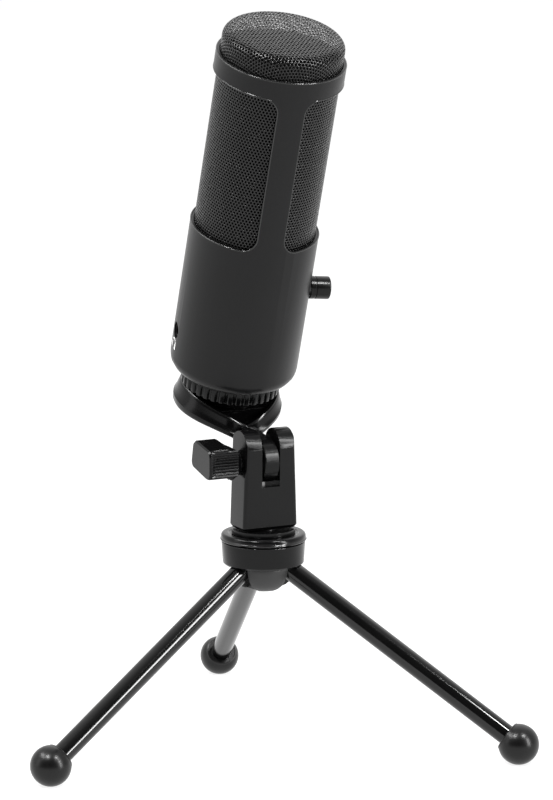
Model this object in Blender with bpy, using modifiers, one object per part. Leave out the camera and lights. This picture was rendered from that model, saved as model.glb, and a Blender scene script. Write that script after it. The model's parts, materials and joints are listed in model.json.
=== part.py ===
"""Desktop microphone: a side-address capsule in a perforated barrel, held by an offset cradle on a
folding three-legged stand.

Metres, +Z up. The origin is the middle of the feet's footprint on the table. One leg points along
+Y and the other two 60 degrees to either side of -Y. An azimuth is measured from -Y towards +X.
"""
import math

import bmesh
import bpy
from mathutils import Matrix, Vector

MM = 0.001
GAP = 0.3 * MM                      # left between neighbouring pieces

# Tripod
LEG_AZIMUTHS = [math.radians(angle) for angle in (-60, 60, 180)]
FOOT_CIRCLE = 104.3 * MM            # from the hub's axis to a foot's middle
FOOT_RADIUS = 7.9 * MM
FOOT_SINK = 0.3 * MM                # how far the flat is cut into the ball
FOOT_LIP = 6.0 * MM                 # radius of its mouth, where the leg enters
LEG_RADIUS = 4.0 * MM
LEG_BORE = 3.1 * MM
LEG_ENTRY = 3.0 * MM                # how far the leg runs past the foot's middle
LEG_PIN_RADIUS = 1.25 * MM
LEG_PIN_CIRCLE = 8.6 * MM           # from the hub's axis to a leg's pin
LEG_PIN_HEIGHT = 70.45 * MM         # midway between the hub's body and its cap
LEG_PIN_LENGTH = 14.0 * MM
HUB_AXIS = Vector((0.0, -0.25 * FOOT_CIRCLE, 0.0))

# Hub
HUB_RADIUS = 16.5 * MM
HUB_LIP = 0.35 * MM                 # how far the collar stands out at the seam
HUB_SEAM = 80.1 * MM                # between the hub's collar and its body
HUB_COLLAR_HEIGHT = 2.4 * MM
HUB_COLLAR_DISH = 13.2 * MM
HUB_COLLAR_RIM = 0.5 * MM           # height of the rim around the dish
HUB_BODY_HEIGHT = 9.5 * MM
HUB_CAP_HEIGHT = 9.8 * MM
HUB_CAP_RADIUS = 12.6 * MM
HUB_CAP_FLAT = 5.4 * MM
SCREW_AZIMUTHS = [azimuth + math.pi / 3 for azimuth in LEG_AZIMUTHS]
SCREW_CIRCLE = 12.6 * MM            # of the screws that hold the collar
SCREW_LENGTH = 10.6 * MM
CAP_SCREW_LENGTH = 11.8 * MM
PAN_SHANK = 2.5 * MM
PAN_HEAD = 4.6 * MM
PAN_RECESS = 4.0 * MM               # depth of the pan bolt's recess in the hub

# Post and its pivot
POST_TURN = math.radians(15.9)      # which way the post faces
POST_FOOT = HUB_SEAM + HUB_COLLAR_HEIGHT + GAP
POST_FOOT_RADIUS = 12.4 * MM
POST_BASE = 85.0 * MM
POST_WIDTH_LOW = 23.2 * MM
POST_WIDTH_HIGH = 21.3 * MM
POST_DEPTH_LOW = 13.2 * MM
POST_DEPTH_HIGH = 13.6 * MM
PIVOT_HEIGHT = 111.3 * MM
EAR_CENTRE = 5.6 * MM               # the ears' round tops, above the pivot
SLOT_WIDTH = 7.6 * MM
SLOT_FLOOR = 9.4 * MM               # below the pivot
PIVOT_BOLT = 2.4 * MM
PIVOT_HEAD = 4.5 * MM
PIVOT_HEAD_END = 10.4 * MM          # from the post's middle, along the pivot
WASHER_RADIUS = 6.4 * MM

# Thumb knob
KNOB_RADIUS = 6.7 * MM
KNOB_RIBS = 26
KNOB_START = 11.6 * MM              # from the post's middle, along the pivot
KNOB_LENGTH = 15.4 * MM
KNOB_WING_DEPTH = 13.6 * MM
KNOB_WING = [(-8.8 * MM, -1.0 * MM), (8.8 * MM, -5.0 * MM), (8.8 * MM, 6.8 * MM), (-6.5 * MM, 9.6 * MM)]

# Cradle, in the tilting frame: the pivot at its origin, the microphone's axis along +Z
TILT = math.radians(18.8)
AXIS_OFFSET = 36.8 * MM             # from the pivot to the microphone's axis
BASE_RISE = 20.1 * MM               # from the pivot up to the microphone's base
TONGUE_WIDTH = 6.0 * MM
TONGUE_RADIUS = 8.4 * MM
CRADLE_RADIUS = 21.5 * MM
CRADLE_RIM = 19.3 * MM              # its outer radius at the top
CRADLE_BORE = 17.8 * MM
CRADLE_TOP = 14.2 * MM
CRADLE_BOTTOM = 4.7 * MM
CRADLE_TOP_DIP = 8.6 * MM           # how far its front drops towards the tongue
CRADLE_BOTTOM_DIP = 7.6 * MM
SEAT_LOW = 7.7 * MM
SEAT_HIGH = 9.5 * MM
SEAT_FRONT = 13.2 * MM              # from the microphone's axis: the front beyond it is open

# Microphone, in its own frame: +Z along its axis, its base at zero, a strut at -Y, the knob at +X
MIC_TURN = math.radians(-11.7)
MIC_RADIUS = 25.0 * MM
MIC_WALL = 2.2 * MM
MIC_THIN_WALL = 1.2 * MM            # beside the windows
MIC_HEIGHT = 134.9 * MM             # to the collar's top
MIC_FLOOR = 4.0 * MM
MIC_ROUNDING = 5.5 * MM
WINDOW_LOW = 63.2 * MM
WINDOW_HIGH = 127.3 * MM
WINDOW_HALF_ANGLE = math.radians(78)
WINDOW_CORNER = 6.0 * MM
GRILLE_RADIUS = 23.5 * MM
GRILLE_WALL = 0.7 * MM
GRILLE_LOW = 59.4 * MM
DOME_TOP = 144.5 * MM
DOME_SHOULDER = 3.6 * MM
DOME_CROWN = 0.6 * MM
SPIGOT_RADIUS = 9.3 * MM
SPIGOT_FLANGE = 15.0 * MM
SPIGOT_END = -20.8 * MM
SPIGOT_SCREWS = [math.radians(angle) for angle in (60, 180, 300)]
SPIGOT_SCREW_CIRCLE = 12.2 * MM
NUT_HIGH = -17.2 * MM
NUT_HEIGHT = 3.0 * MM
NUT_REACH = 12.4 * MM               # to its corners
LOCK_RING_RADIUS = 19.5 * MM
LOCK_RING_TOP = -0.4 * MM
LOCK_RING_HEIGHT = 5.2 * MM
LOCK_RING_SLEEVE = 13.0 * MM
LOCK_RING_RIBS = 36

# Inside the microphone
FLANGE_HEIGHT = 2.4 * MM
BOARD_THICKNESS = 1.6 * MM
BOARD_LOW = 11.6 * MM
BOARD_SCREWS = [28 * MM, 47 * MM]   # heights
BOARD_SCREW_RADIUS = 0.8 * MM
FRONT_BOARD = 7.0 * MM              # from the axis to its inner face
FRONT_BOARD_TOP = 57.0 * MM
REAR_BOARD = -9.4 * MM              # from the axis to its outer face
REAR_BOARD_TOP = 51.0 * MM
CHASSIS_HALF = 1.2 * MM             # half its plate's thickness
CHASSIS_TOP = 99.0 * MM
CAPSULE_MIDDLE = 111.0 * MM
CAPSULE_RADIUS = 8.0 * MM
CAPSULE_RING = 10.6 * MM
VOLUME_HEIGHT = 37.0 * MM
VOLUME_RADIUS = 4.5 * MM
VOLUME_END = 33.6 * MM              # from the microphone's axis
VOLUME_SHAFT = 3.0 * MM
JACK_HEIGHT = 17.0 * MM
JACK_HOLE = 3.3 * MM
USB_HEIGHT = 17.0 * MM
USB_AZIMUTH = math.radians(-130)
USB_WIDTH = 8.8 * MM
USB_TALL = 3.0 * MM

COLLECTION = "desktop_microphone"


# --- scene, materials, placing ---------------------------------------------------------------

def clear_scene():
    for item in list(bpy.data.objects):
        bpy.data.objects.remove(item, do_unlink=True)


def collection(name):
    group = bpy.data.collections.new(name)
    bpy.context.scene.collection.children.link(group)
    return group


def material(name, colour, roughness, metallic=0.0):
    made = bpy.data.materials.new(name)
    made.use_nodes = True
    shader = made.node_tree.nodes["Principled BSDF"]
    shader.inputs["Base Color"].default_value = (*colour, 1.0)
    shader.inputs["Roughness"].default_value = roughness
    shader.inputs["Metallic"].default_value = metallic
    return made


def empty(name, matrix, parent=None):
    made = bpy.data.objects.new(name, None)
    PARTS.objects.link(made)
    made.parent = parent
    made.matrix_basis = matrix
    return made


def direction(azimuth):
    """A level unit vector at an azimuth."""
    return Vector((math.sin(azimuth), -math.cos(azimuth), 0.0))


def place(item, parent, matrix=None):
    item.parent = parent
    if matrix is not None:
        item.matrix_basis = matrix
    return item


def along(start, way, roll=0.0):
    """A frame at start whose +Z points along way."""
    turn = Vector(way).to_track_quat("Z", "Y").to_matrix().to_4x4()
    return Matrix.Translation(start) @ turn @ Matrix.Rotation(roll, 4, "Z")


# --- shapes ----------------------------------------------------------------------------------

def mesh_object(name, mesh, finish, parent=None, matrix=None):
    made = bpy.data.objects.new(name, mesh)
    PARTS.objects.link(made)
    if finish is not None:
        mesh.materials.append(finish)
    return place(made, parent, matrix)


def turned(name, profile, finish, parent=None, matrix=None, steps=32, closed=False):
    """A shape turned about +Z. The profile runs down its outer side from top to bottom."""
    mesh = bpy.data.meshes.new(name)
    edges = [(i, i + 1) for i in range(len(profile) - 1)]
    if closed:
        edges.append((len(profile) - 1, 0))
    mesh.from_pydata([(radius, 0.0, height) for radius, height in profile], edges, [])
    made = mesh_object(name, mesh, finish, parent, matrix)
    screw = made.modifiers.new("turn", "SCREW")
    screw.steps = steps
    screw.render_steps = steps
    screw.use_merge_vertices = True
    screw.merge_threshold = 0.00002
    screw.use_smooth_shade = True
    return made


def ring_profile(outer, inner, low, high, chamfer=0.0):
    """The closed outline of a ring, with its outer corners cut off."""
    if chamfer == 0.0:
        return [(outer, high), (outer, low), (inner, low), (inner, high)]
    return [(outer - chamfer, high), (outer, high - chamfer), (outer, low + chamfer),
            (outer - chamfer, low), (inner, low), (inner, high)]


def pin_profile(radius, low, high, head=0.0, head_height=0.0, chamfer=0.2 * MM):
    """The outline of a pin, or of a screw with its head on top."""
    if head == 0.0:
        return [(0.0, high), (radius - chamfer, high), (radius, high - chamfer),
                (radius, low + chamfer), (radius - chamfer, low), (0.0, low)]
    under = high - head_height
    return [(0.0, high), (head - chamfer, high), (head, high - chamfer), (head, under),
            (radius, under), (radius, low + chamfer), (radius - chamfer, low), (0.0, low)]


def arc(centre, radius, start, end, count, rise=None):
    """Points on an arc, with angles in degrees from +X. A rise makes it part of an ellipse."""
    rise = radius if rise is None else rise
    points = []
    for i in range(count + 1):
        angle = math.radians(start + (end - start) * i / count)
        points.append((centre[0] + radius * math.cos(angle), centre[1] + rise * math.sin(angle)))
    return points


def rounded(corners, radius, count=4):
    """A closed outline through the corners, each of them rounded off."""
    points = []
    for i, corner in enumerate(corners):
        here = Vector(corner)
        before = (Vector(corners[i - 1]) - here).normalized()
        after = (Vector(corners[(i + 1) % len(corners)]) - here).normalized()
        half = before.angle(after) / 2
        reach = radius / math.tan(half)
        middle = here + (before + after).normalized() * radius / math.sin(half)
        first = here + before * reach - middle
        last = here + after * reach - middle
        for step in range(count + 1):
            points.append(tuple(middle + first.slerp(last, step / count).normalized() * radius))
    return points


def plate(name, outline, thickness, finish, parent=None, matrix=None):
    """A flat outline in XY, with its thickness along Z on both sides of zero."""
    curve = bpy.data.curves.new(name, "CURVE")
    curve.dimensions = "2D"
    curve.fill_mode = "BOTH"
    curve.extrude = thickness / 2
    spline = curve.splines.new("POLY")
    spline.points.add(len(outline) - 1)
    for point, (x, y) in zip(spline.points, outline):
        point.co = (x, y, 0.0, 1.0)
    spline.use_cyclic_u = True
    drawn = bpy.data.objects.new(name + "_outline", curve)
    PARTS.objects.link(drawn)
    bpy.context.view_layer.update()
    graph = bpy.context.evaluated_depsgraph_get()
    mesh = bpy.data.meshes.new_from_object(drawn.evaluated_get(graph))
    bpy.data.objects.remove(drawn, do_unlink=True)
    weld(mesh)
    mesh.materials.clear()
    return mesh_object(name, mesh, finish, parent, matrix)


def weld(mesh):
    work = bmesh.new()
    work.from_mesh(mesh)
    bmesh.ops.remove_doubles(work, verts=work.verts, dist=0.000001)
    bmesh.ops.recalc_face_normals(work, faces=work.faces)
    work.to_mesh(mesh)
    work.free()


def block(name, low, high, finish, parent=None, matrix=None, bevel=0.0):
    """A box between two corners."""
    work = bmesh.new()
    bmesh.ops.create_cube(work, size=1.0)
    low = Vector(low)
    high = Vector(high)
    for vertex in work.verts:
        vertex.co = Vector((low[i] + (vertex.co[i] + 0.5) * (high[i] - low[i]) for i in range(3)))
    mesh = bpy.data.meshes.new(name)
    work.to_mesh(mesh)
    work.free()
    made = mesh_object(name, mesh, finish, parent, matrix)
    if bevel:
        round_edges(made, bevel)
    return made


def round_edges(item, width, segments=2, angle=40):
    bevel = item.modifiers.new("round", "BEVEL")
    bevel.width = width
    bevel.segments = segments
    bevel.limit_method = "ANGLE"
    bevel.angle_limit = math.radians(angle)
    return bevel


def loft(name, sections, finish, parent=None, matrix=None, loop=False):
    """A skin over sections that all have the same number of points."""
    work = bmesh.new()
    rows = [[work.verts.new(point) for point in section] for section in sections]
    size = len(rows[0])
    for i in range(len(rows) if loop else len(rows) - 1):
        here = rows[i]
        there = rows[(i + 1) % len(rows)]
        for j in range(size):
            k = (j + 1) % size
            work.faces.new((here[j], here[k], there[k], there[j]))
    if not loop:
        work.faces.new(list(reversed(rows[0])))
        work.faces.new(rows[-1])
    bmesh.ops.recalc_face_normals(work, faces=work.faces)
    mesh = bpy.data.meshes.new(name)
    work.to_mesh(mesh)
    work.free()
    return mesh_object(name, mesh, finish, parent, matrix)


def tool(item):
    """Puts a shape away as a cutter or as a piece to be joined on."""
    PARTS.objects.unlink(item)
    TOOLS.objects.link(item)
    item.hide_render = True
    item.display_type = "WIRE"
    return item


def combine(target, other, operation):
    modifier = target.modifiers.new(other.name, "BOOLEAN")
    modifier.operation = operation
    modifier.solver = "EXACT"
    modifier.object = tool(other)
    return target


def cut(target, other):
    return combine(target, other, "DIFFERENCE")


def join(target, other):
    return combine(target, other, "UNION")


def weld_cuts(group):
    """Joins the near-identical corners that a chain of cuts can leave."""
    for item in group.objects:
        if any(modifier.type == "BOOLEAN" for modifier in item.modifiers):
            weld_modifier = item.modifiers.new("weld", "WELD")
            weld_modifier.merge_threshold = 0.001 * MM


def drill(target, radius, start, end, parent, steps=16):
    """A round hole from start to end, in the parent's frame."""
    start = Vector(start)
    way = Vector(end) - start
    name = f"{target.name}_hole_{len(target.modifiers)}"
    outline = [(0.0, way.length), (radius, way.length), (radius, 0.0), (0.0, 0.0)]
    bore = turned(name, outline, None, parent, along(start, way), steps)
    return cut(target, bore)


# --- stand -----------------------------------------------------------------------------------

def leg_frame(azimuth):
    """The pin's place, and the way from it to the foot, in the hub's frame."""
    out = direction(azimuth)
    pin = out * LEG_PIN_CIRCLE + Vector((0, 0, LEG_PIN_HEIGHT))
    foot = out * FOOT_CIRCLE + Vector((0, 0, FOOT_RADIUS - FOOT_SINK))
    return pin, (foot - pin)


def make_leg(number, azimuth, stand, finish):
    """A tube with a closed round head that turns on the pin, open at its foot."""
    pin, way = leg_frame(azimuth)
    end = way.length + LEG_ENTRY
    outer = [(0.0, -LEG_RADIUS)] + arc((0, 0), LEG_RADIUS, -68, 0, 3) + [(LEG_RADIUS, end)]
    inner = [(LEG_BORE, end), (LEG_BORE, 1.5 * LEG_RADIUS), (0.0, 1.5 * LEG_RADIUS)]
    leg = turned(f"leg_{number}", list(reversed(outer + inner)), finish, stand, along(pin, way), 16)
    side = direction(azimuth + math.pi / 2) * 1.5 * LEG_RADIUS
    return drill(leg, LEG_PIN_RADIUS + GAP, pin - side, pin + side, stand, 10)


def make_foot(number, azimuth, stand, finish):
    """A rubber ball, flat where it stands, with a collar where the leg enters it."""
    pin, way = leg_frame(azimuth)
    top = -math.sqrt(FOOT_RADIUS ** 2 - FOOT_LIP ** 2)
    mouth = top - 0.6 * MM
    hole = LEG_RADIUS + GAP
    outline = [(0.0, FOOT_RADIUS)]
    outline += arc((0, 0), FOOT_RADIUS, 90, math.degrees(math.atan2(top, FOOT_LIP)), 7)[1:]
    outline += [(FOOT_LIP, mouth), (hole, mouth), (hole, LEG_ENTRY + GAP), (0.0, LEG_ENTRY + GAP)]
    foot = turned(f"foot_{number}", outline, finish, stand, along(pin + way, way), 16)
    floor = block(f"floor_{number}", (-0.02, -0.02, -0.02), (0.02, 0.02, 0.0), None, stand,
                  Matrix.Translation(direction(azimuth) * FOOT_CIRCLE))
    return cut(foot, floor)


def make_leg_pin(number, azimuth, stand, finish):
    pin, way = leg_frame(azimuth)
    half = LEG_PIN_LENGTH / 2
    side = direction(azimuth + math.pi / 2)
    return turned(f"leg_pin_{number}", pin_profile(LEG_PIN_RADIUS, -half, half), finish, stand,
                  along(pin, side), 10)


def clear_legs(target, stand):
    """Cuts the three slots that the legs swing in, and the grooves for their pins."""
    for number, azimuth in enumerate(LEG_AZIMUTHS, 1):
        pin, way = leg_frame(azimuth)
        width = LEG_RADIUS + 0.35 * MM
        name = f"{target.name}_leg_{number}"
        round_slot = [(0.0, -width)] + arc((0, 0), width, -68, 0, 3) + [(width, 0.04), (0.0, 0.04)]
        cut(target, turned(name, list(reversed(round_slot)), None, stand, along(pin, way), 16))
        frame = Matrix.Translation(pin) @ Matrix.Rotation(azimuth, 4, "Z")
        wide = width + 0.05 * MM
        low = (-wide, -0.03, -0.02)
        cut(target, block(name + "_swing", low, (wide, wide, 0.01 * MM), None, stand, frame))
        side = direction(azimuth + math.pi / 2) * (LEG_PIN_LENGTH / 2 + GAP)
        drill(target, LEG_PIN_RADIUS + GAP, pin - side, pin + side, stand, 10)


def make_hub_body(stand, finish):
    """The hub's lower part: it holds the legs, their pins and the head of the pan bolt."""
    low = HUB_SEAM - HUB_BODY_HEIGHT
    radius = HUB_RADIUS - 0.2 * MM
    recess = PAN_HEAD + GAP
    top = HUB_SEAM - GAP
    profile = [(0.0, top - PAN_RECESS), (recess, top - PAN_RECESS), (recess, top),
               (radius - 0.4 * MM, top), (radius, top - 0.4 * MM), (radius - 0.5 * MM, low + 0.7 * MM),
               (radius - 1.1 * MM, low), (0.0, low)]
    body = turned("hub_body", profile, finish, stand, None, 36)
    clear_legs(body, stand)
    drill(body, 1.5 * MM + GAP, (0, 0, low - 1 * MM), (0, 0, low + 4.0 * MM), stand, 10)
    for azimuth in SCREW_AZIMUTHS:
        bore = pin_profile(1.0 * MM + GAP, -0.02, 0.001, 2.2 * MM, 3.2 * MM, 0.0)
        spot = direction(azimuth) * SCREW_CIRCLE + Vector((0, 0, low))
        cut(body, turned("collar_screw_bore", bore, None, stand,
                         Matrix.Translation(spot) @ Matrix.Rotation(math.pi, 4, "X"), 10))
    return body


def make_hub_collar(stand, finish):
    """The hub's upper ring, dished on top around the post's foot."""
    low = HUB_SEAM
    high = low + HUB_COLLAR_HEIGHT
    bore = PAN_SHANK + GAP
    top = high + HUB_COLLAR_RIM
    corner = 1.2 * MM
    profile = [(bore, high), (HUB_COLLAR_DISH, high), (HUB_COLLAR_DISH + HUB_COLLAR_RIM, top)]
    profile += arc((HUB_RADIUS - corner, top - corner), corner, 90, 0, 3)
    profile += [(HUB_RADIUS, low + 0.9 * MM), (HUB_RADIUS + HUB_LIP, low + 0.6 * MM),
                (HUB_RADIUS + HUB_LIP, low + 0.2 * MM), (HUB_RADIUS, low), (bore, low)]
    collar = turned("hub_collar", profile, finish, stand, None, 36, closed=True)
    for azimuth in SCREW_AZIMUTHS:
        spot = direction(azimuth) * SCREW_CIRCLE
        drill(collar, 1.0 * MM + GAP, spot + Vector((0, 0, low - 1 * MM)),
              spot + Vector((0, 0, high - 0.5 * MM)), stand, 10)
    return collar


def make_hub_cap(stand, finish):
    """The dome under the hub, with a recess for its screw."""
    high = HUB_SEAM - HUB_BODY_HEIGHT - GAP
    low = high - HUB_CAP_HEIGHT
    profile = [(0.0, high), (HUB_CAP_RADIUS - 0.3 * MM, high)]
    profile += arc((HUB_CAP_FLAT, high), HUB_CAP_RADIUS - HUB_CAP_FLAT, -5, -90, 6, HUB_CAP_HEIGHT)
    profile += [(0.0, low)]
    cap = turned("hub_cap", profile, finish, stand, None, 32)
    clear_legs(cap, stand)
    drill(cap, 1.5 * MM + GAP, (0, 0, low - 1 * MM), (0, 0, high + 1 * MM), stand, 10)
    return drill(cap, 3.2 * MM, (0, 0, low - 1 * MM), (0, 0, low + 2.2 * MM), stand, 14)


def screw_up(name, length, shank, head, spot, stand, finish):
    """A screw put in from below: its head is at the bottom and its tip on top."""
    return turned(name, pin_profile(shank, -length, 0.0, head, 1.6 * MM), finish, stand,
                  Matrix.Translation(spot) @ Matrix.Rotation(math.pi, 4, "X"), 10)


def make_stand(stand, finishes):
    make_hub_body(stand, finishes["stand"])
    make_hub_collar(stand, finishes["stand"])
    make_hub_cap(stand, finishes["stand"])
    low = HUB_SEAM - HUB_BODY_HEIGHT
    screw_up("cap_screw", CAP_SCREW_LENGTH, 1.5 * MM, 2.8 * MM,
             (0, 0, low - HUB_CAP_HEIGHT + 0.2 * MM), stand, finishes["steel"])
    for number, azimuth in enumerate(SCREW_AZIMUTHS, 1):
        spot = direction(azimuth) * SCREW_CIRCLE + Vector((0, 0, low + 0.4 * MM))
        screw_up(f"collar_screw_{number}", SCREW_LENGTH, 1.0 * MM, 1.9 * MM, spot, stand,
                 finishes["steel"])
    for number, azimuth in enumerate(LEG_AZIMUTHS, 1):
        make_leg(number, azimuth, stand, finishes["legs"])
        make_foot(number, azimuth, stand, finishes["rubber"])
        make_leg_pin(number, azimuth, stand, finishes["steel"])


# --- post and pivot --------------------------------------------------------------------------

def post_section(width, depth, height, corner):
    corners = [(-width / 2, -depth / 2), (width / 2, -depth / 2), (width / 2, depth / 2),
               (-width / 2, depth / 2)]
    return [(x, y, height) for x, y in rounded(corners, corner, 3)]


def make_post(pan, finish):
    """The fork: a tapered block on a round foot, with two round-topped ears."""
    ear = POST_DEPTH_HIGH / 2
    top = PIVOT_HEIGHT + EAR_CENTRE + 1.5 * ear
    corner = 1.3 * MM
    share = (top - POST_BASE) / (PIVOT_HEIGHT - POST_BASE)
    width = POST_WIDTH_LOW + (POST_WIDTH_HIGH - POST_WIDTH_LOW) * share
    depth = POST_DEPTH_LOW + (POST_DEPTH_HIGH - POST_DEPTH_LOW) * share
    chin = post_section(POST_WIDTH_LOW - 1.6 * MM, POST_DEPTH_LOW - 1.6 * MM, POST_BASE, corner)
    foot = post_section(POST_WIDTH_LOW, POST_DEPTH_LOW, POST_BASE + 1.2 * MM, corner)
    head = post_section(width, depth, top, corner)
    post = loft("pivot_post", [chin, foot, head], finish, pan)
    step = POST_BASE - 0.4 * MM
    neck = 0.45 * POST_DEPTH_LOW
    round_foot = [(0.0, POST_BASE + 2 * MM), (neck, POST_BASE + 2 * MM), (neck, step),
                  (POST_FOOT_RADIUS, step), (POST_FOOT_RADIUS, POST_FOOT), (0.0, POST_FOOT)]
    join(post, turned("post_neck", round_foot, None, pan, None, 32))
    trim = arc((0, 0), ear, 0, 180, 12) + [(-0.02, 0.0), (-0.02, 0.03), (0.02, 0.03), (0.02, 0.0)]
    sideways = Matrix.Rotation(math.pi / 2, 4, "Z") @ Matrix.Rotation(math.pi / 2, 4, "X")
    lift = Matrix.Translation((0, 0, PIVOT_HEIGHT + EAR_CENTRE))
    cut(post, plate("post_trim", trim, 0.06, None, pan, lift @ sideways))
    cut(post, block("post_slot", (-SLOT_WIDTH / 2, -0.03, PIVOT_HEIGHT - SLOT_FLOOR),
                    (SLOT_WIDTH / 2, 0.03, PIVOT_HEIGHT + 0.04), None, pan))
    reach = 0.02
    drill(post, PIVOT_BOLT + GAP, (-reach, 0, PIVOT_HEIGHT), (reach, 0, PIVOT_HEIGHT), pan)
    drill(post, PIVOT_HEAD + GAP, (PIVOT_HEAD_END - 2.4 * MM, 0, PIVOT_HEIGHT),
          (reach, 0, PIVOT_HEIGHT), pan)
    drill(post, PAN_SHANK + GAP, (0, 0, POST_FOOT - 1 * MM), (0, 0, POST_FOOT + 12 * MM), pan, 12)
    return post


def make_pan_bolt(pan, finish):
    """The bolt on which the post turns: its head is caught in the hub."""
    low = HUB_SEAM - PAN_RECESS
    profile = pin_profile(PAN_SHANK, -(POST_FOOT + 11 * MM - low), 0.0, PAN_HEAD, 3.0 * MM)
    return turned("pan_bolt", profile, finish, pan,
                  Matrix.Translation((0, 0, low)) @ Matrix.Rotation(math.pi, 4, "X"), 16)


def make_pivot_bolt(pan, finish):
    """The cross bolt: its head is sunk in the right ear and its thread runs into the knob."""
    way = Vector((1, 0, 0))
    tip = KNOB_START + 8.0 * MM
    profile = pin_profile(PIVOT_BOLT, -tip - PIVOT_HEAD_END, 0.0, PIVOT_HEAD, 2.1 * MM)
    start = (PIVOT_HEAD_END, 0, PIVOT_HEIGHT)
    return turned("pivot_bolt", profile, finish, pan, along(start, way), 16)


def make_tilt_washers(pan, finish):
    """The two friction washers beside the tongue."""
    inner = TONGUE_WIDTH / 2 + 0.15 * MM
    outer = SLOT_WIDTH / 2 - 0.15 * MM
    for number, side in enumerate((-1, 1), 1):
        turned(f"tilt_washer_{number}", ring_profile(WASHER_RADIUS, PIVOT_BOLT + GAP, inner, outer),
               finish, pan, along((0, 0, PIVOT_HEIGHT), (side, 0, 0)), 20, closed=True)


def ribbed_outline(radius, depth, ribs):
    """A round outline with square ribs: two points out and two points in for each."""
    points = []
    for i in range(ribs):
        for share, reach in ((-0.30, radius), (0.30, radius), (0.42, radius - depth),
                             (0.58, radius - depth)):
            angle = 2 * math.pi * (i + share + 0.1) / ribs
            points.append((reach * math.cos(angle), reach * math.sin(angle)))
    return points


def make_thumb_knob(knob, finish):
    """A ribbed hub with a skewed wing across its outer end. +Z of the frame points outwards."""
    outward = along((-KNOB_START, 0, 0), (-1, 0, 0))
    hub_depth = KNOB_LENGTH - 3.0 * MM
    body = plate("thumb_knob", ribbed_outline(KNOB_RADIUS, 0.5 * MM, KNOB_RIBS), hub_depth, finish,
                 knob, outward @ Matrix.Translation((0, 0, hub_depth / 2)))
    sections = []
    for depth, share in ((KNOB_WING_DEPTH, 0.74), (KNOB_WING_DEPTH - 3.0 * MM, 1.0), (0.7 * MM, 1.0),
                         (0.0, 0.93)):
        outline = rounded([(x * share, y * share) for x, y in KNOB_WING], 1.9 * MM, 3)
        sections.append([(-(KNOB_START + KNOB_LENGTH - depth), -x, y) for x, y in outline])
    join(body, loft("knob_wing", sections, None, knob))
    return drill(body, PIVOT_BOLT + GAP, (-KNOB_START + 1 * MM, 0, 0),
                 (-KNOB_START - 9.0 * MM, 0, 0), knob)


# --- cradle ----------------------------------------------------------------------------------

def cradle_section(azimuth):
    """The band's outline at an azimuth, as radius and height: its front sweeps down."""
    share = max(0.0, 1.0 - abs(azimuth) / math.radians(95))
    low = CRADLE_BOTTOM - CRADLE_BOTTOM_DIP * share ** 3.4
    high = CRADLE_TOP - CRADLE_TOP_DIP * share ** 1.9
    waist = low + 0.42 * (high - low)
    slope = (CRADLE_RADIUS + CRADLE_RIM) / 2 + 0.3 * MM
    return [(CRADLE_BORE, low), (CRADLE_RADIUS - 1.2 * MM, low), (CRADLE_RADIUS - 0.2 * MM, low + 1.2 * MM),
            (CRADLE_RADIUS, waist), (slope, (waist + high) / 2), (CRADLE_RIM, high), (CRADLE_BORE, high)]


def make_cradle(tilt, finish):
    """A ring around the microphone's spigot whose front sweeps down into the tongue."""
    centre = Vector((0, AXIS_OFFSET, 0))
    sections = []
    count = 40
    for i in range(count):
        azimuth = 2 * math.pi * i / count - math.pi
        out = direction(azimuth)
        sections.append([centre + out * radius + Vector((0, 0, height))
                         for radius, height in cradle_section(azimuth)])
    cradle = loft("cradle", sections, finish, tilt, None, loop=True)
    seat = turned("cradle_seat", ring_profile(CRADLE_BORE + 1.0 * MM, SPIGOT_RADIUS + GAP,
                                              SEAT_LOW, SEAT_HIGH),
                  None, tilt, Matrix.Translation(centre), 40, closed=True)
    cut(seat, block("seat_front", (-11.5 * MM, -0.03, -0.01), (11.5 * MM, -SEAT_FRONT, 0.03), None, tilt,
                    Matrix.Translation(centre)))
    join(cradle, seat)
    rim_front = AXIS_OFFSET - CRADLE_RADIUS + 1.6 * MM
    front = [height for radius, height in cradle_section(0.0)]
    outline = arc((0, 0), TONGUE_RADIUS, 80, 275, 14)
    outline += [(rim_front, min(front) + 0.2 * MM), (rim_front, max(front) - 0.2 * MM)]
    sideways = Matrix.Rotation(math.pi / 2, 4, "Z") @ Matrix.Rotation(math.pi / 2, 4, "X")
    join(cradle, plate("cradle_tongue", outline, TONGUE_WIDTH, None, tilt, sideways))
    return drill(cradle, PIVOT_BOLT + GAP, (-0.01, 0, 0), (0.01, 0, 0), tilt)


# --- microphone ------------------------------------------------------------------------------

def window_section(angle, low, high):
    inner = MIC_RADIUS - 4 * MM
    outer = MIC_RADIUS + 2 * MM
    out = direction(angle)
    return [out * inner + Vector((0, 0, low)), out * outer + Vector((0, 0, low)),
            out * outer + Vector((0, 0, high)), out * inner + Vector((0, 0, high))]


def window_cutter(name, middle, mic):
    """A panel wrapped round the barrel, with rounded corners."""
    sweep = WINDOW_CORNER / MIC_RADIUS
    steps = [(sweep * (1 - math.cos(math.radians(a))), WINDOW_CORNER * (1 - math.sin(math.radians(a))))
             for a in (0, 22, 45, 67, 90)]
    flat = 14
    first = -WINDOW_HALF_ANGLE
    edge = [(first + along_it, inset) for along_it, inset in steps]
    start = edge[-1][0]
    between = [(start + (0 - 2 * start) * i / flat, 0.0) for i in range(1, flat)]
    outline = edge + between + [(-angle, inset) for angle, inset in reversed(edge)]
    sections = [window_section(middle + angle, WINDOW_LOW + inset, WINDOW_HIGH - inset)
                for angle, inset in outline]
    return loft(name, sections, None, mic)


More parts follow.
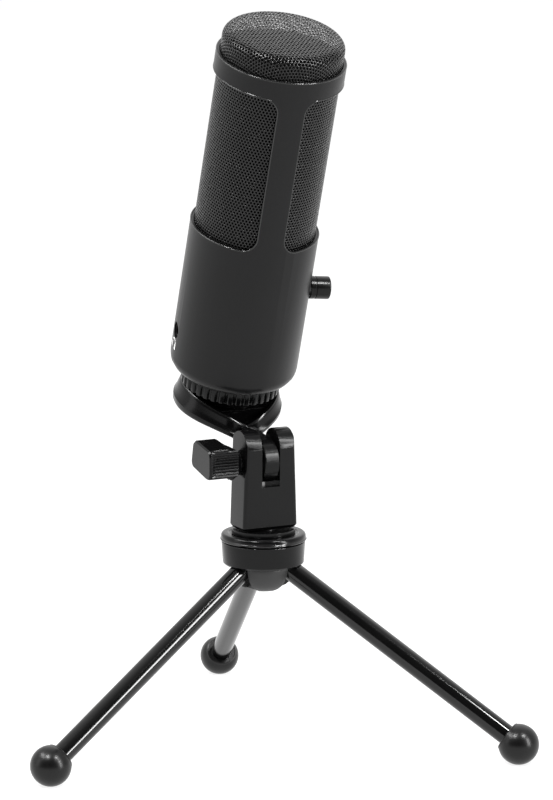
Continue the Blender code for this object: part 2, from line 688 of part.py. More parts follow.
def make_body_shell(mic, finish):
    """The barrel, its two struts and its top collar, in one piece."""
    outer = MIC_RADIUS
    thin = outer - MIC_THIN_WALL
    thick = outer - MIC_WALL
    hole = SPIGOT_RADIUS + GAP
    inner_round = MIC_ROUNDING - MIC_WALL
    profile = [(outer - 0.15 * MM, MIC_HEIGHT), (outer, MIC_HEIGHT - 0.15 * MM)]
    profile += arc((outer - MIC_ROUNDING, MIC_ROUNDING), MIC_ROUNDING, 0, -90, 4)
    profile += [(hole, 0.0), (hole, MIC_FLOOR), (thick - inner_round, MIC_FLOOR)]
    profile += arc((thick - inner_round, MIC_FLOOR + inner_round), inner_round, -90, 0, 3)[1:]
    profile += [(thick, GRILLE_LOW - 1.0 * MM), (thin, GRILLE_LOW - GAP), (thin, MIC_HEIGHT)]
    shell = turned("body_shell", profile, finish, mic, None, 44, closed=True)
    for name, middle in (("window_right", math.pi / 2), ("window_left", -math.pi / 2)):
        cut(shell, window_cutter(name, middle, mic))
    drill(shell, VOLUME_SHAFT + GAP, (15 * MM, 0, VOLUME_HEIGHT), (30 * MM, 0, VOLUME_HEIGHT), mic)
    drill(shell, JACK_HOLE, (-15 * MM, 0, JACK_HEIGHT), (-30 * MM, 0, JACK_HEIGHT), mic)
    side = USB_WIDTH / 2 + GAP
    lift = USB_TALL / 2 + GAP
    cut(shell, block("usb_opening", (-side, -30 * MM, -lift), (side, -15 * MM, lift), None, mic,
                     usb_frame()))
    for azimuth in SPIGOT_SCREWS:
        spot = direction(azimuth) * SPIGOT_SCREW_CIRCLE
        drill(shell, 1.0 * MM + GAP, spot + Vector((0, 0, 0.9 * MM)), spot + Vector((0, 0, 5 * MM)),
              mic, 10)
    return shell


def usb_frame():
    """A frame on the axis at the socket's height, whose -Y points out through the socket."""
    return Matrix.Translation((0, 0, USB_HEIGHT)) @ Matrix.Rotation(USB_AZIMUTH, 4, "Z")


def make_grilles(mic, finish):
    """The perforated sleeve and the perforated dome, as plain thin skins."""
    inner = GRILLE_RADIUS - GRILLE_WALL
    seam = MIC_HEIGHT - 1.0 * MM
    turned("side_grille", ring_profile(GRILLE_RADIUS, inner, GRILLE_LOW, seam - GAP), finish, mic,
           None, 36, closed=True)
    shoulder = DOME_SHOULDER
    corner = (GRILLE_RADIUS - shoulder, DOME_TOP - DOME_CROWN - shoulder)
    crown = [(0.0, DOME_TOP), (0.6 * corner[0], DOME_TOP - 0.3 * DOME_CROWN)]
    skin = crown + arc(corner, shoulder, 86, 0, 5) + [(GRILLE_RADIUS, seam), (inner, seam)]
    skin += arc(corner, shoulder - GRILLE_WALL, 0, 86, 5)
    skin += [(radius, height - GRILLE_WALL) for radius, height in reversed(crown)]
    return turned("top_grille", skin, finish, mic, None, 36)


def make_foam(mic, finish):
    """The windscreen: a foam cup, open below, just inside the grilles."""
    outer = GRILLE_RADIUS - GRILLE_WALL - 0.5 * MM
    inner = outer - 2.4 * MM
    low = GRILLE_LOW + 1.5 * MM
    high = MIC_HEIGHT - 2.0 * MM
    profile = [(0.0, high), (outer - 1 * MM, high), (outer, high - 1 * MM), (outer, low),
               (inner, low), (inner, high - 2.4 * MM), (0.0, high - 2.4 * MM)]
    return turned("foam_windscreen", profile, finish, mic, None, 28)


def make_spigot(mic, finishes):
    """The threaded stud under the base, and the three screws in its flange."""
    flange_low = MIC_FLOOR + GAP
    flange_high = flange_low + FLANGE_HEIGHT
    profile = [(0.0, flange_high), (SPIGOT_FLANGE, flange_high), (SPIGOT_FLANGE, flange_low),
               (SPIGOT_RADIUS, flange_low), (SPIGOT_RADIUS, SPIGOT_END + 0.6 * MM),
               (SPIGOT_RADIUS - 0.6 * MM, SPIGOT_END), (0.0, SPIGOT_END)]
    spigot = turned("mount_spigot", profile, finishes["metal"], mic, None, 32)
    for number, azimuth in enumerate(SPIGOT_SCREWS, 1):
        spot = direction(azimuth) * SPIGOT_SCREW_CIRCLE
        drill(spigot, 1.0 * MM + GAP, spot, spot + Vector((0, 0, 0.01)), mic, 10)
        high = flange_high + GAP + 1.4 * MM
        turned(f"spigot_screw_{number}", pin_profile(1.0 * MM, 1.2 * MM, high, 2.0 * MM, 1.4 * MM),
               finishes["steel"], mic, Matrix.Translation(spot), 10)
    return spigot


def make_retaining_nut(mic, finish):
    """The hexagonal nut on the spigot's end, below the cradle's seat."""
    hexagon = [(NUT_REACH * math.cos(math.pi / 3 * i), NUT_REACH * math.sin(math.pi / 3 * i))
               for i in range(6)]
    nut = plate("retaining_nut", hexagon, NUT_HEIGHT, finish, mic,
                Matrix.Translation((0, 0, NUT_HIGH - NUT_HEIGHT / 2)))
    round_edges(nut, 0.4 * MM, 1)
    return drill(nut, SPIGOT_RADIUS + GAP, (0, 0, NUT_HIGH - 0.01), (0, 0, NUT_HIGH + 0.01), mic, 32)


def make_lock_ring(ring, finish):
    """The knurled ring on the spigot, whose sleeve is screwed down on the cradle's seat."""
    outline = ribbed_outline(LOCK_RING_RADIUS, 0.7 * MM, LOCK_RING_RIBS)
    body = plate("lock_ring", outline, LOCK_RING_HEIGHT, finish, ring,
                 Matrix.Translation((0, 0, LOCK_RING_TOP - LOCK_RING_HEIGHT / 2)))
    low = SEAT_HIGH - BASE_RISE + GAP
    high = LOCK_RING_TOP - LOCK_RING_HEIGHT / 2
    sleeve = [(0.0, high), (LOCK_RING_SLEEVE, high), (LOCK_RING_SLEEVE, low), (0.0, low)]
    join(body, turned("lock_ring_sleeve", sleeve, None, ring, None, 32))
    return drill(body, SPIGOT_RADIUS + GAP, (0, 0, -0.02), (0, 0, 0.01), ring, 32)


def make_chassis(mic, finishes):
    """The upright frame that carries both boards and, on top, the capsule."""
    half = CHASSIS_HALF
    foot_low = MIC_FLOOR + GAP + FLANGE_HEIGHT + 2.3 * MM
    chassis = block("chassis", (-half, -12 * MM, foot_low + 0.6 * MM), (half, 12 * MM, CHASSIS_TOP),
                    finishes["inner"], mic)
    foot = ring_profile(17.0 * MM, 9.0 * MM, foot_low, foot_low + 2.2 * MM)
    join(chassis, turned("chassis_foot", foot, None, mic, None, 28, closed=True))
    start = REAR_BOARD + BOARD_THICKNESS + GAP
    end = FRONT_BOARD - GAP
    bore = BOARD_SCREW_RADIUS + GAP
    for number, height in enumerate(BOARD_SCREWS):
        join(chassis, turned(f"chassis_boss_{number}", pin_profile(2.4 * MM, 0.0, end - start), None, mic,
                             along((start, 0, height), (1, 0, 0)), 10))
        drill(chassis, bore, (start - 1 * MM, 0, height), (-1.0 * MM, 0, height), mic, 8)
        drill(chassis, bore, (end + 1 * MM, 0, height), (1.0 * MM, 0, height), mic, 8)
    return chassis


def make_board(name, side, top, outward, mic, finishes):
    """A board held by two screws, whose heads are on its outward face."""
    board = block(name, (side, -14 * MM, BOARD_LOW), (side + BOARD_THICKNESS, 14 * MM, top),
                  finishes["board"], mic)
    face = side + BOARD_THICKNESS if outward > 0 else side
    for number, height in enumerate(BOARD_SCREWS, 1):
        drill(board, BOARD_SCREW_RADIUS + GAP, (side - 1 * MM, 0, height), (side + 3 * MM, 0, height),
              mic, 8)
        turned(f"{name}_screw_{number}",
               pin_profile(BOARD_SCREW_RADIUS, -4.4 * MM, 1.2 * MM, 1.6 * MM, 1.2 * MM - GAP),
               finishes["steel"], mic, along((face, 0, height), (outward, 0, 0)), 10)
    return board


def make_volume_control(mic, finishes):
    """The volume control's housing on the front board."""
    start = FRONT_BOARD + BOARD_THICKNESS + GAP
    half = 5 * MM
    case = block("volume_control", (start, -half, VOLUME_HEIGHT - half),
                 (start + 6 * MM, half, VOLUME_HEIGHT + half), finishes["metal"], mic, bevel=0.4 * MM)
    return drill(case, VOLUME_SHAFT, (start + 2 * MM, 0, VOLUME_HEIGHT),
                 (start + 7 * MM, 0, VOLUME_HEIGHT), mic)


def make_volume_knob(volume, finishes):
    """The knob and the shaft it is pressed on, in a frame whose +Z points out of the barrel."""
    start = FRONT_BOARD + BOARD_THICKNESS + GAP + 2.3 * MM
    shaft = VOLUME_SHAFT - GAP
    end = VOLUME_END - 2.0 * MM
    turned("volume_shaft", pin_profile(shaft, start, end), finishes["steel"], volume, None, 16)
    corner = 0.6 * MM
    low = MIC_RADIUS + 0.5 * MM
    profile = [(0.0, VOLUME_END)]
    profile += arc((VOLUME_RADIUS - corner, VOLUME_END - corner), corner, 90, 0, 3)
    profile += [(VOLUME_RADIUS - 0.15 * MM, low), (VOLUME_SHAFT, low), (VOLUME_SHAFT, end + GAP),
                (0.0, end + GAP)]
    return turned("volume_knob", profile, finishes["knob"], volume, None, 28)


def make_sockets(mic, finishes):
    """The headphone socket, straight behind the knob, and the data socket beside it."""
    turned("headphone_jack", ring_profile(JACK_HOLE - GAP, 1.8 * MM, GAP - REAR_BOARD, 24.2 * MM),
           finishes["knob"], mic, along((0, 0, JACK_HEIGHT), (-1, 0, 0)), 20, closed=True)
    side = USB_WIDTH / 2
    lift = USB_TALL / 2
    wall = 0.4 * MM
    socket = block("usb_socket", (-side, -23.8 * MM, -lift), (side, -16.6 * MM, lift),
                   finishes["metal"], mic, usb_frame())
    return cut(socket, block("usb_mouth", (wall - side, -26 * MM, wall - lift),
                             (side - wall, -17.6 * MM, lift - wall), None, mic, usb_frame()))


def make_capsule(mic, finishes):
    """The capsule, facing the right-hand window, in its rubber ring on a saddle."""
    sideways = along((0, 0, CAPSULE_MIDDLE), (1, 0, 0))
    turned("capsule", pin_profile(CAPSULE_RADIUS, -4.0 * MM, 4.0 * MM, chamfer=0.5 * MM),
           finishes["metal"], mic, sideways, 24)
    turned("capsule_ring", ring_profile(CAPSULE_RING, CAPSULE_RADIUS + GAP, -3.0 * MM, 3.0 * MM, 0.6 * MM),
           finishes["rubber"], mic, sideways, 24, closed=True)
    low = CHASSIS_TOP - 8 * MM
    saddle = block("capsule_saddle", (-3.4 * MM, -7.5 * MM, low), (3.4 * MM, 7.5 * MM, low + 15 * MM),
                   finishes["inner"], mic)
    drill(saddle, CAPSULE_RING + GAP, (-0.01, 0, CAPSULE_MIDDLE), (0.01, 0, CAPSULE_MIDDLE), mic, 28)
    half = CHASSIS_HALF + GAP
    return cut(saddle, block("saddle_slot", (-half, -0.02, low - 1 * MM),
                             (half, 0.02, CHASSIS_TOP + GAP), None, mic))


def make_microphone(mic, finishes):
    make_body_shell(mic, finishes["shell"])
    make_grilles(mic, finishes["grille"])
    make_foam(mic, finishes["foam"])
    make_spigot(mic, finishes)
    make_retaining_nut(mic, finishes["metal"])
    make_chassis(mic, finishes)
    make_board("front_board", FRONT_BOARD, FRONT_BOARD_TOP, 1, mic, finishes)
    make_board("rear_board", REAR_BOARD, REAR_BOARD_TOP, -1, mic, finishes)
    make_volume_control(mic, finishes)
    make_sockets(mic, finishes)
    make_capsule(mic, finishes)


# --- assembly --------------------------------------------------------------------------------

clear_scene()
PARTS = collection(COLLECTION)
TOOLS = collection(COLLECTION + "_tools")
FINISHES = {
    "shell": material("satin_black_metal", (0.035, 0.035, 0.037), 0.42, 0.5),
    "grille": material("black_wire_mesh", (0.012, 0.012, 0.013), 0.5, 0.6),
    "foam": material("dark_foam", (0.01, 0.01, 0.01), 0.95),
    "knob": material("black_gloss_plastic", (0.015, 0.015, 0.016), 0.35),
    "stand": material("satin_black_plastic", (0.022, 0.022, 0.023), 0.42),
    "legs": material("black_lacquered_steel", (0.012, 0.012, 0.013), 0.18, 0.4),
    "rubber": material("black_rubber", (0.014, 0.014, 0.015), 0.6),
    "steel": material("zinc_steel", (0.55, 0.55, 0.56), 0.35, 1.0),
    "metal": material("black_metal", (0.03, 0.03, 0.03), 0.4, 0.8),
    "inner": material("grey_nylon", (0.12, 0.12, 0.12), 0.6),
    "board": material("green_board", (0.02, 0.12, 0.05), 0.5),
}

STAND = empty("stand_frame", Matrix.Translation(HUB_AXIS))
PAN = empty("pan_frame", Matrix.Rotation(POST_TURN, 4, "Z"), STAND)
KNOB = empty("knob_frame", Matrix.Translation((0, 0, PIVOT_HEIGHT)), PAN)
LEAN = Matrix.Rotation(TILT, 4, "X")
TILTING = empty("tilt_frame", Matrix.Translation((0, 0, PIVOT_HEIGHT)) @ LEAN, PAN)
RING = empty("ring_frame", Matrix.Translation((0, AXIS_OFFSET, BASE_RISE)), TILTING)
MIC = empty("microphone_frame", Matrix.Rotation(MIC_TURN, 4, "Z"), RING)
VOLUME = empty("volume_frame", along((0, 0, VOLUME_HEIGHT), (1, 0, 0)), MIC)

make_stand(STAND, FINISHES)
make_post(PAN, FINISHES["stand"])
make_pan_bolt(PAN, FINISHES["steel"])
make_pivot_bolt(PAN, FINISHES["steel"])
make_tilt_washers(PAN, FINISHES["rubber"])
make_thumb_knob(KNOB, FINISHES["stand"])
make_cradle(TILTING, FINISHES["stand"])
make_lock_ring(RING, FINISHES["stand"])
make_microphone(MIC, FINISHES)
make_volume_knob(VOLUME, FINISHES)
weld_cuts(PARTS)
bpy.context.view_layer.update()
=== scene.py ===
"""The looks of the desktop microphone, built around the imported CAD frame."""
import json
import math

import bmesh
import bpy
from mathutils import Matrix, Vector


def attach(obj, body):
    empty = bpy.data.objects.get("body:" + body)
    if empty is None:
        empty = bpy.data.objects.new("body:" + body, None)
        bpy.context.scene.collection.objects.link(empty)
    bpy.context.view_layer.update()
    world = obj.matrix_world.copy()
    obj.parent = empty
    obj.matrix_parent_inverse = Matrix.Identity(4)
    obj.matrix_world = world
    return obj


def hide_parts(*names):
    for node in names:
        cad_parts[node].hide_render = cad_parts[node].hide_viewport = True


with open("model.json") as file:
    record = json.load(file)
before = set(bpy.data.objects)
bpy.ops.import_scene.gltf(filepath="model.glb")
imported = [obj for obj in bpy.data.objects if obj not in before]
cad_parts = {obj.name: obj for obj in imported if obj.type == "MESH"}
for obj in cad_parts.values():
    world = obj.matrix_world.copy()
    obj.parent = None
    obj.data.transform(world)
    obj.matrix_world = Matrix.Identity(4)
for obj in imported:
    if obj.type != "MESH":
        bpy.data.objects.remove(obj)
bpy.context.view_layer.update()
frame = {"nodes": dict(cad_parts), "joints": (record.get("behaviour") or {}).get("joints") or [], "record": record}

MM = 0.001
NODES = frame["nodes"]
JOINTS = {joint["name"]: joint for joint in frame["joints"]}

# Camera: where it stands round the stand's axis, and what it looks at
VIEW_AZIMUTH = math.radians(-10.15)
VIEW_ELEVATION = math.radians(10.991)
VIEW_ROLL = math.radians(0.115)
VIEW_DISTANCE = 1.7343
VIEW_TARGET = Vector((0.00498, 0.0, 0.135))
LENS = 202.28

# Stage: the room is brighter towards +Y, from ROOM_DARK to ROOM_BRIGHT of its depth
FLOOR_REACH = 6.0
FLOOR_GREY = 0.2
FLOOR_GLOW = 0.85
FRONT_LEVEL = 0.06
ROOM_DARK = 0.18
ROOM_BRIGHT = 0.62
ROOM_STRENGTH = 1.05

# Area lights, all turned to a point at LIT_HEIGHT: azimuth from the camera's side and elevation in
# degrees, then distance, width and height in metres, then power in watts
LIT_HEIGHT = 0.15
LAMPS = {
    "right_strip": (59, 18, 2.4, 0.30, 1.7, 50.0),
    "left_box": (-75, 15, 1.4, 0.5, 0.9, 2.0),
    "left_high": (-80, 48, 1.3, 0.8, 0.25, 10.0),
    "top_left": (-34, 58, 1.3, 0.22, 0.22, 14.0),
    "top_right": (50, 50, 1.3, 0.22, 0.22, 12.0),
    "behind_high": (170, 44, 1.6, 1.6, 1.4, 4.0),
}

# CAD nodes that a piece of this script takes the place of
REMADE = ["side_grille", "top_grille", "foam_windscreen", "volume_knob", "lock_ring", "thumb_knob",
          "cradle", "leg_1", "leg_2", "leg_3", "foot_1", "foot_2", "foot_3"]

# Rounded edges of the CAD nodes that stay
EDGES = {
    "pivot_post": 0.35 * MM,
    "hub_body": 0.3 * MM,
    "hub_collar": 0.3 * MM,
    "hub_cap": 0.3 * MM,
}


# --- frames ----------------------------------------------------------------------------------

def joint_point(name):
    return Vector(JOINTS[name]["pos_m"])


def joint_axis(name):
    return Vector(JOINTS[name]["axis"]).normalized()


def frame_at(origin, x_way, z_way):
    """A frame at origin with +Z along z_way and +X as near to x_way as it can be."""
    z = z_way.normalized()
    y = z.cross(x_way).normalized()
    x = y.cross(z)
    turn = Matrix((x, y, z)).transposed().to_4x4()
    return Matrix.Translation(origin) @ turn


INWARD = joint_axis("mic_tilt")
HUB = joint_point("post_pan") * Vector((1, 1, 0))
STAND = Matrix.Translation(HUB)
MIC = frame_at(joint_point("mic_turn"), joint_axis("volume_turn"), joint_axis("mic_turn"))
RING = frame_at(joint_point("mic_turn"), INWARD, joint_axis("mic_turn"))
TILTED = frame_at(joint_point("mic_tilt"), INWARD, joint_axis("mic_turn"))
KNOB = frame_at(joint_point("mic_tilt"), INWARD.cross(Vector((0, 0, -1))), INWARD)
VOLUME = frame_at(joint_point("volume_turn"), joint_axis("mic_turn"), joint_axis("volume_turn"))


def local_points(node, place):
    """The vertices of a CAD node in a frame."""
    back = place.inverted()
    return [back @ vertex.co for vertex in NODES[node].data.vertices]


def heights(node, place):
    """The lowest and highest height of a CAD node in a frame."""
    values = [point.z for point in local_points(node, place)]
    return min(values), max(values)


def radius_of(node, place):
    """The largest distance of a CAD node from a frame's axis."""
    return max(math.hypot(point.x, point.y) for point in local_points(node, place))


def bore_of(node, place):
    """The smallest distance of a CAD node from a frame's axis."""
    return min(math.hypot(point.x, point.y) for point in local_points(node, place))


# --- shader nodes ----------------------------------------------------------------------------

ROUGHNESS_DRIFT = 0.12
GRAIN_DEPTH = 0.05 * MM


def link(tree, start, end):
    tree.links.new(start, end)


def noise_node(tree, vector, scale, detail, roughness=0.5):
    noise = tree.nodes.new("ShaderNodeTexNoise")
    noise.inputs["Scale"].default_value = scale
    noise.inputs["Detail"].default_value = detail
    noise.inputs["Roughness"].default_value = roughness
    link(tree, vector, noise.inputs["Vector"])
    return noise


def spread(tree, value, low, high):
    """Turns a noise's middle range into values from low to high."""
    ranged = tree.nodes.new("ShaderNodeMapRange")
    ranged.inputs["From Min"].default_value = 0.3
    ranged.inputs["From Max"].default_value = 0.7
    ranged.inputs["To Min"].default_value = low
    ranged.inputs["To Max"].default_value = high
    link(tree, value, ranged.inputs["Value"])
    return ranged


def finish(name, colour, roughness, vary, patch, grain, bump, metallic=0.0, specular=0.5):
    """A surface whose colour drifts in patches and whose roughness and relief have a fine grain."""
    made = bpy.data.materials.new(name)
    made.use_nodes = True
    tree = made.node_tree
    shader = tree.nodes["Principled BSDF"]
    shader.inputs["Metallic"].default_value = metallic
    shader.inputs["Specular IOR Level"].default_value = specular
    place = tree.nodes.new("ShaderNodeTexCoord").outputs["Object"]
    patches = noise_node(tree, place, patch, 4.0)
    ramp = tree.nodes.new("ShaderNodeValToRGB")
    dark, light = ramp.color_ramp.elements
    dark.position = 0.3
    dark.color = (*[channel * (1 - vary) for channel in colour], 1.0)
    light.position = 0.7
    light.color = (*[channel * (1 + vary) for channel in colour], 1.0)
    link(tree, patches.outputs["Fac"], ramp.inputs["Fac"])
    link(tree, ramp.outputs["Color"], shader.inputs["Base Color"])
    fine = noise_node(tree, place, grain, 2.0)
    smoothest = roughness * (1 - ROUGHNESS_DRIFT)
    roughest = roughness * (1 + ROUGHNESS_DRIFT)
    rough = spread(tree, fine.outputs["Fac"], smoothest, roughest)
    link(tree, rough.outputs["Result"], shader.inputs["Roughness"])
    relief = tree.nodes.new("ShaderNodeBump")
    relief.inputs["Strength"].default_value = bump
    relief.inputs["Distance"].default_value = GRAIN_DEPTH
    link(tree, fine.outputs["Fac"], relief.inputs["Height"])
    link(tree, relief.outputs["Normal"], shader.inputs["Normal"])
    return made


FINISHES = {
    "shell": finish("satin_black_paint", (0.0045, 0.0045, 0.0047), roughness=0.33, vary=0.10,
                    patch=45, grain=4200, bump=0.05, specular=0.2),
    "grille": finish("black_perforated_steel", (0.002, 0.002, 0.002), roughness=0.19, vary=0.3,
                     patch=260, grain=4200, bump=0.01, specular=0.36),
    "foam": finish("open_cell_foam", (0.001, 0.001, 0.001), roughness=0.95, vary=0.5,
                   patch=900, grain=1400, bump=1.0, specular=0.03),
    "knob": finish("black_gloss_plastic", (0.002, 0.002, 0.002), roughness=0.24, vary=0.15,
                   patch=90, grain=4400, bump=0.03, specular=0.22),
    "stand": finish("satin_black_moulding", (0.0018, 0.0018, 0.0019), roughness=0.20, vary=0.12,
                    patch=70, grain=4200, bump=0.03, specular=0.2),
    "legs": finish("black_lacquered_tube", (0.002, 0.002, 0.002), roughness=0.10, vary=0.2,
                   patch=80, grain=900, bump=0.0015, specular=0.42),
    "rubber": finish("black_rubber", (0.002, 0.002, 0.002), roughness=0.3, vary=0.25,
                     patch=160, grain=4200, bump=0.10, specular=0.3),
    "steel": finish("zinc_plate", (0.5, 0.5, 0.51), roughness=0.32, vary=0.1,
                    patch=500, grain=3000, bump=0.1, metallic=1.0),
    "metal": finish("blackened_metal", (0.008, 0.008, 0.008), roughness=0.30, vary=0.2,
                    patch=300, grain=3000, bump=0.1),
    "inner": finish("grey_nylon", (0.12, 0.12, 0.12), roughness=0.55, vary=0.1,
                    patch=300, grain=3000, bump=0.2),
    "board": finish("green_board", (0.02, 0.12, 0.05), roughness=0.45, vary=0.2,
                    patch=400, grain=3000, bump=0.1),
}
CAP_FINISH = finish("greyed_black_moulding", (0.016, 0.016, 0.016), roughness=0.42, vary=0.10,
                    patch=90, grain=3000, bump=0.08)
# Glossy finish for bevels, window rims and the cradle's lip; its colour, lighter than the shell and the stand, is
# a painted highlight
EDGE_HIGHLIGHT_FINISH = finish("glossy_black_edge_painted_highlight", (0.006, 0.006, 0.006), roughness=0.15, vary=0.2,
                     patch=300, grain=3600, bump=0.01, specular=0.55)
PRINT_FINISH = finish("white_print", (0.75, 0.75, 0.74), roughness=0.5, vary=0.06,
                      patch=900, grain=3000, bump=0.1)


# --- mesh helpers ----------------------------------------------------------------------------

def piece(name, work, place, body, slot, *nodes):
    """Makes a piece from a bmesh drawn in a frame, with its slot's finish, riding on a body."""
    mesh = bpy.data.meshes.new(name)
    bmesh.ops.recalc_face_normals(work, faces=work.faces)
    work.to_mesh(mesh)
    work.free()
    mesh.transform(place)
    made = bpy.data.objects.new(name, mesh)
    bpy.context.scene.collection.objects.link(made)
    mesh.materials.append(FINISHES[slot])
    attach(made, body)
    if nodes:
        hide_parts(*nodes)
    return made


def refinish(item, material):
    """Gives a whole piece another finish than its slot's."""
    item.data.materials.clear()
    item.data.materials.append(material)


def shade(item, angle=35):
    """Smooth shading, with edges sharper than the angle kept crisp."""
    item.data.shade_smooth()
    item.data.set_sharp_from_angle(angle=math.radians(angle))
    return item


def thicken(item, thickness):
    solid = item.modifiers.new("sheet", "SOLIDIFY")
    solid.thickness = thickness
    solid.offset = -1.0
    return item


def arc(centre, radius, start, end, count, rise=None):
    """Points on an arc, with angles in degrees from +X. A rise makes it part of an ellipse."""
    rise = radius if rise is None else rise
    angles = [math.radians(start + (end - start) * i / count) for i in range(count + 1)]
    return [(centre[0] + radius * math.cos(angle), centre[1] + rise * math.sin(angle))
            for angle in angles]


def rounded(corners, radius, steps):
    """A closed outline with each corner replaced by an arc."""
    outline = []
    count = len(corners)
    for i in range(count):
        corner = Vector(corners[i])
        before = (Vector(corners[i - 1]) - corner).normalized()
        after = (Vector(corners[(i + 1) % count]) - corner).normalized()
        half = before.angle(after) / 2
        middle = corner + (before + after).normalized() * radius / math.sin(half)
        first = corner + before * radius / math.tan(half) - middle
        last = corner + after * radius / math.tan(half) - middle
        for j in range(steps + 1):
            outline.append(middle + first.slerp(last, j / steps).normalized() * radius)
    return outline


def evenly(outline, pitch):
    """Points spread evenly along a closed outline, near the pitch."""
    sides = [(outline[i - 1], outline[i]) for i in range(len(outline))]
    total = sum((end - start).length for start, end in sides)
    count = round(total / pitch)
    points = []
    travelled = 0.0
    for start, end in sides:
        length = (end - start).length
        while len(points) < count and len(points) * total / count <= travelled + length:
            share = (len(points) * total / count - travelled) / length
            points.append(start.lerp(end, share))
        travelled += length
    return points


def ease(value, low, high):
    """A smooth step from 0 at low to 1 at high."""
    share = min(1.0, max(0.0, (value - low) / (high - low)))
    return share * share * (3 - 2 * share)


def skin(work, rows, closed_rows=False):
    """Quads between rows that all hold the same number of vertices and close on themselves."""
    size = len(rows[0])
    for i in range(len(rows) if closed_rows else len(rows) - 1):
        here = rows[i]
        there = rows[(i + 1) % len(rows)]
        for j in range(size):
            k = (j + 1) % size
            corners = [here[j], here[k], there[k], there[j]]
            corners = [corner for n, corner in enumerate(corners) if corner is not corners[n - 1]]
            if len(corners) > 2:
                work.faces.new(corners)


def lathe(profile, steps, closed=False, shape=None):
    """A profile turned about +Z. shape(angle, radius) may move each point's radius."""
    work = bmesh.new()
    rows = []
    for radius, height in profile:
        if radius == 0.0:
            rows.append([work.verts.new((0, 0, height))] * steps)
            continue
        row = []
        for i in range(steps):
            angle = 2 * math.pi * i / steps
            reach = shape(angle, radius) if shape else radius
            row.append(work.verts.new((reach * math.cos(angle), reach * math.sin(angle), height)))
        rows.append(row)
    skin(work, rows, closed)
    return work


def slab(work, outline, low, high, turned_point, inset):
    """A closed plate between two depths, with its rims taken in."""
    rows = []
    middle = sum((Vector(point) for point in outline), Vector((0, 0))) / len(outline)
    for depth, inward in ((low, inset), (low + inset, 0.0), (high - inset, 0.0), (high, inset)):
        row = []
        for point in outline:
            way = middle - Vector(point)
            spot = Vector(point) + way.normalized() * inward
            row.append(work.verts.new(turned_point(spot.x, spot.y, depth)))
        rows.append(row)
    skin(work, rows)
    work.faces.new(rows[0])
    work.faces.new(rows[-1])


# --- carried-over CAD nodes ------------------------------------------------------------------

WELD_REACH = 0.002 * MM
CRISP_ANGLE = math.radians(35)


def carry_over(node, slot, bevel):
    """Gives a CAD node its finish, soft edges and smooth round sides."""
    item = NODES[node]
    item.data.materials.clear()
    item.data.materials.append(FINISHES[slot])
    item.data.shade_smooth()
    item.modifiers.new("weld", "WELD").merge_threshold = WELD_REACH
    if bevel:
        item.data.materials.append(EDGE_HIGHLIGHT_FINISH)
        edge = item.modifiers.new("edge", "BEVEL")
        edge.width = bevel
        edge.segments = 2
        # the bevel's faces take the glossy edge finish, whose lighter colour is a painted highlight
        edge.material = 1
        edge.limit_method = "ANGLE"
        edge.angle_limit = CRISP_ANGLE
    crisp = item.modifiers.new("crisp", "EDGE_SPLIT")
    crisp.split_angle = CRISP_ANGLE
    crisp.use_edge_sharp = False
    item.modifiers.new("flat", "WEIGHTED_NORMAL").keep_sharp = True


# --- grilles ---------------------------------------------------------------------------------

SHEET = 0.20 * MM
PITCH = 1.32 * MM
HOLE = 0.98 * MM
PANEL_HALF = math.radians(83)
PANEL_FOOT = 2.2 * MM
PANEL_HEAD = 4.4 * MM
DOME_PITCH = 1.45 * MM
DOME_HOLE = 1.14 * MM
DOME_SHOULDER = 3.6 * MM
DOME_CROWN = 0.6 * MM
DOME_WALL = 9.6 * MM


def lattice(u_low, u_high, v_low, v_high, pitch):
    """Staggered centres inside a rectangle."""
    rise = pitch * math.sqrt(3) / 2
    centres = []
    for j in range(int((v_high - v_low) / rise) + 1):
        for i in range(int((u_high - u_low) / pitch) + 1):
            centres.append((u_low + (i + (j % 2) / 2) * pitch, v_low + j * rise))
    return centres


def perforated(centres, pitch, hole, warp):
    """One layer of a perforated sheet: a hexagonal cell with a six-sided hole at each centre."""
    work = bmesh.new()
    known = {}

    def vertex(u, v):
        key = (round(u / (pitch * 0.01)), round(v / (pitch * 0.01)))
        if key not in known:
            known[key] = work.verts.new(warp(u, v))
        return known[key]

    corner = pitch / math.sqrt(3)
    turns = [math.radians(30 + 60 * i) for i in range(6)]
    for u, v in centres:
        outside = [vertex(u + corner * math.cos(turn), v + corner * math.sin(turn))
                   for turn in turns]
        inside = [work.verts.new(warp(u + hole / 2 * math.cos(turn), v + hole / 2 * math.sin(turn)))
                  for turn in turns]
        for i in range(6):
            work.faces.new((outside[i - 1], outside[i], inside[i], inside[i - 1]))
    return work


def make_side_grilles():
    """The two perforated panels behind the barrel's windows."""
    radius = radius_of("side_grille", MIC)
    low, high = heights("side_grille", MIC)
    reach = radius * PANEL_HALF
    centres = lattice(-reach, reach, low + PANEL_FOOT, high - PANEL_HEAD, PITCH)
    for name, middle in (("grille_right", 0.0), ("grille_left", math.pi)):
        def warp(u, v):
            angle = middle + u / radius
            return (radius * math.cos(angle), radius * math.sin(angle), v)

        work = perforated(centres, PITCH, HOLE, warp)
        item = piece(name, work, MIC, "microphone", "grille", "side_grille")
        shade(thicken(item, SHEET), 40)


